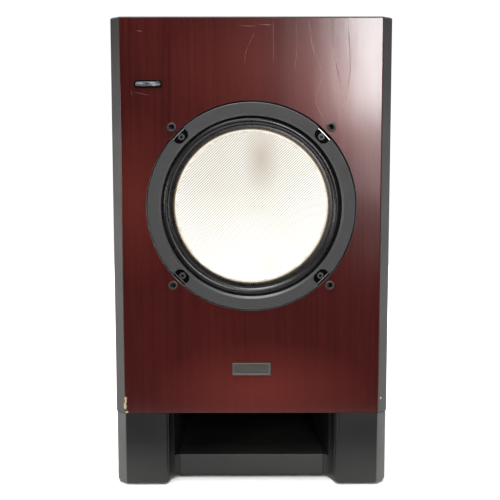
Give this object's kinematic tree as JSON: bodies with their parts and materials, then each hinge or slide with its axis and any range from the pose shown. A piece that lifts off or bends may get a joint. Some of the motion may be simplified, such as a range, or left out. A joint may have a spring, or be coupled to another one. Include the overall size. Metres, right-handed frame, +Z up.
{
  "type": "powered subwoofer",
  "caption": "Upright powered subwoofer: veneered front with one large woofer, black cabinet on a slotted plinth, amplifier panel with knobs and switches behind.",
  "frame": {"origin": "on the floor, under the middle of the object's box", "axes": "+Z up, -Y out of the front where the woofer is, +X to the right as seen from the front"},
  "size_m": [0.274, 0.404, 0.465],
  "materials": {
    "veneer": "gloss red-brown veneer under clear coat",
    "black_paint": "satin black on fibreboard",
    "plinth_black": "satin charcoal paint on fibreboard",
    "fibreboard": "raw fibreboard",
    "wadding": "loose polyester wadding",
    "textured_plastic": "fine matt texture",
    "black_plastic": "moulded black",
    "black_steel": "powder coated steel",
    "screw_black": "black oxide",
    "black_anodised": "black anodised extrusion",
    "rubber": "matt rubber",
    "foam": "closed-cell foam tape",
    "woven_fibre": "resin-bonded diagonal weave, satin",
    "aluminium": "satin",
    "badge_metal": "dark brushed plate",
    "copper": "enamelled winding",
    "cloth": "resin-dipped cloth",
    "steel": "zinc plated",
    "ferrite": "ground ferrite",
    "board": "glass-fibre circuit board"
  },
  "bodies": {
    "cabinet": {"front_baffle": "veneer", "left_side_panel": "black_paint", "right_side_panel": "black_paint", "top_panel": "black_paint", "bottom_panel": "black_paint", "rear_panel": "black_paint", "window_brace": "fibreboard", "slot_duct": "black_plastic", "damping_mat": "wadding", "left_foot": "plinth_black", "right_foot": "plinth_black", "slot_floor": "plinth_black", "slot_back": "plinth_black", "rubber_pad_1": "rubber", "rubber_pad_2": "rubber", "rubber_pad_3": "rubber", "rubber_pad_4": "rubber", "grille_socket_1": "rubber", "grille_socket_2": "rubber", "grille_socket_3": "rubber", "grille_socket_4": "rubber", "lower_badge": "badge_metal", "slim_badge": "aluminium", "trim_ring": "textured_plastic", "driver_basket": "black_steel", "driver_gasket": "foam", "driver_screw_1": "screw_black", "driver_screw_2": "screw_black", "driver_screw_3": "screw_black", "driver_screw_4": "screw_black", "surround": "rubber", "spider": "cloth", "top_plate": "steel", "magnet": "ferrite", "yoke": "steel", "terminal_strip": "board", "amp_plate": "black_steel", "amp_screw_1": "screw_black", "amp_screw_2": "screw_black", "amp_screw_3": "screw_black", "amp_screw_4": "screw_black", "amp_screw_5": "screw_black", "amp_screw_6": "screw_black", "heat_sink": "black_anodised", "level_control": "steel", "cutoff_control": "steel", "phase_switch_body": "steel", "power_switch_body": "black_plastic", "input_jack_block": "black_plastic", "power_inlet": "black_plastic", "main_board": "board", "transformer": "steel", "speaker_lead": "black_plastic"},
    "cone_assembly": {"cone": "woven_fibre", "coil_former": "aluminium", "voice_coil": "copper"},
    "level_knob": {"level_knob": "black_plastic"},
    "cutoff_knob": {"cutoff_knob": "black_plastic"},
    "power_rocker": {"power_rocker": "black_plastic"},
    "phase_slider": {"phase_slider": "black_plastic"}
  },
  "joints": [
    {"name": "cone_excursion", "type": "slide", "parent": "cabinet", "child": "cone_assembly", "axis": [0, -1, 0], "range_m": [-0.007, 0.007], "stiffness_N_per_m": 1500, "deforming": ["surround", "spider"]},
    {"name": "level_knob_turn", "type": "hinge", "parent": "cabinet", "child": "level_knob", "pos_m": [0.05, 0.1883, 0.365], "axis": [0, 1, 0], "range_deg": [-150, 150]},
    {"name": "cutoff_knob_turn", "type": "hinge", "parent": "cabinet", "child": "cutoff_knob", "pos_m": [0.005, 0.1883, 0.365], "axis": [0, 1, 0], "range_deg": [-150, 150]},
    {"name": "power_rocker_tip", "type": "hinge", "parent": "cabinet", "child": "power_rocker", "pos_m": [0.05, 0.1889, 0.165], "axis": [1, 0, 0], "range_deg": [-14, 0]},
    {"name": "phase_slide", "type": "slide", "parent": "cabinet", "child": "phase_slider", "axis": [1, 0, 0], "range_m": [0, 0.0052]}
  ]
}
